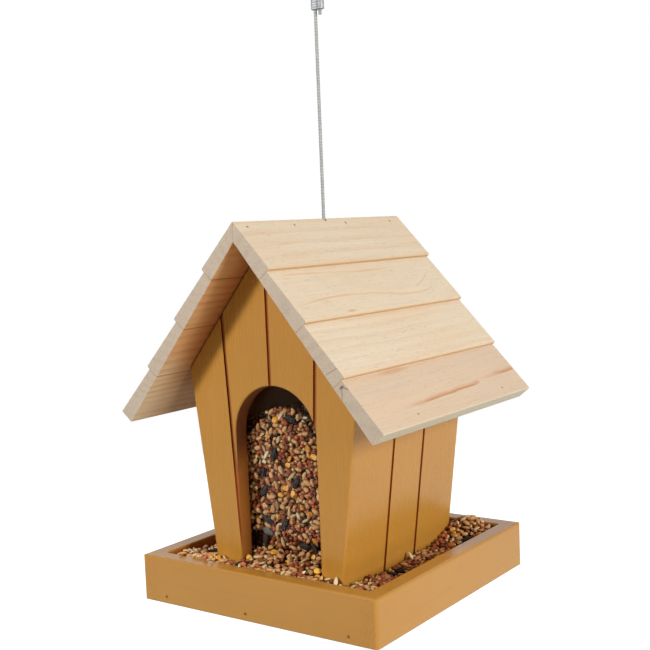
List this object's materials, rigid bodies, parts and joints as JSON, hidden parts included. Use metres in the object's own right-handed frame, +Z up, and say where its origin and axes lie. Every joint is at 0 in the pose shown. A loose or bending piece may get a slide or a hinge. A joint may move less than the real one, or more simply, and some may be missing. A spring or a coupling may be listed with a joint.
{
  "type": "hanging bird feeder",
  "caption": "Hanging wooden bird feeder: tapered seed house with arched windows on a railed tray, under a stepped gable roof that lifts along its cable to fill.",
  "frame": {"origin": "middle of the tray's underside, where the feeder rests when it isn't hung", "axes": "+Z up along the hanging cable, +Y along the ridge from the front gable to the back gable, +X to the right as seen from the front"},
  "size_m": [0.2232, 0.2035, 0.4657],
  "materials": {
    "painted_wood": "ochre stain under satin varnish, grooves left dark red-brown",
    "bare_pine": "sanded bare pine with open end grain",
    "clear_pane": "clear acrylic sheet",
    "steel": "zinc plated",
    "cable_steel": "twisted steel strands",
    "crimp_sleeve": "pressed aluminium",
    "mixed_seed": "loose mixed bird seed"
  },
  "bodies": {
    "feeder": {"tray_floor": "painted_wood", "tray_rail_front": "painted_wood", "tray_rail_back": "painted_wood", "tray_rail_left": "painted_wood", "tray_rail_right": "painted_wood", "tray_brads": "steel", "floor_screws": "steel", "gable_front": "painted_wood", "gable_back": "painted_wood", "side_left": "painted_wood", "side_right": "painted_wood", "window_front": "clear_pane", "window_back": "clear_pane", "window_screws": "steel", "crossbar": "bare_pine", "cable_washer": "steel", "cable_stop": "crimp_sleeve", "hanging_cable": "cable_steel", "loop_ferrule": "crimp_sleeve", "seed_hopper": "mixed_seed", "seed_tray": "mixed_seed"},
    "roof": {"roof_right_1": "bare_pine", "roof_right_2": "bare_pine", "roof_right_3": "bare_pine", "roof_right_4": "bare_pine", "roof_left_1": "bare_pine", "roof_left_2": "bare_pine", "roof_left_3": "bare_pine", "roof_left_4": "bare_pine", "ridge_brads": "steel"}
  },
  "joints": [
    {"name": "roof_lift", "type": "slide", "parent": "feeder", "child": "roof", "axis": [0, 0, 1], "range_m": [0, 0.14]}
  ]
}
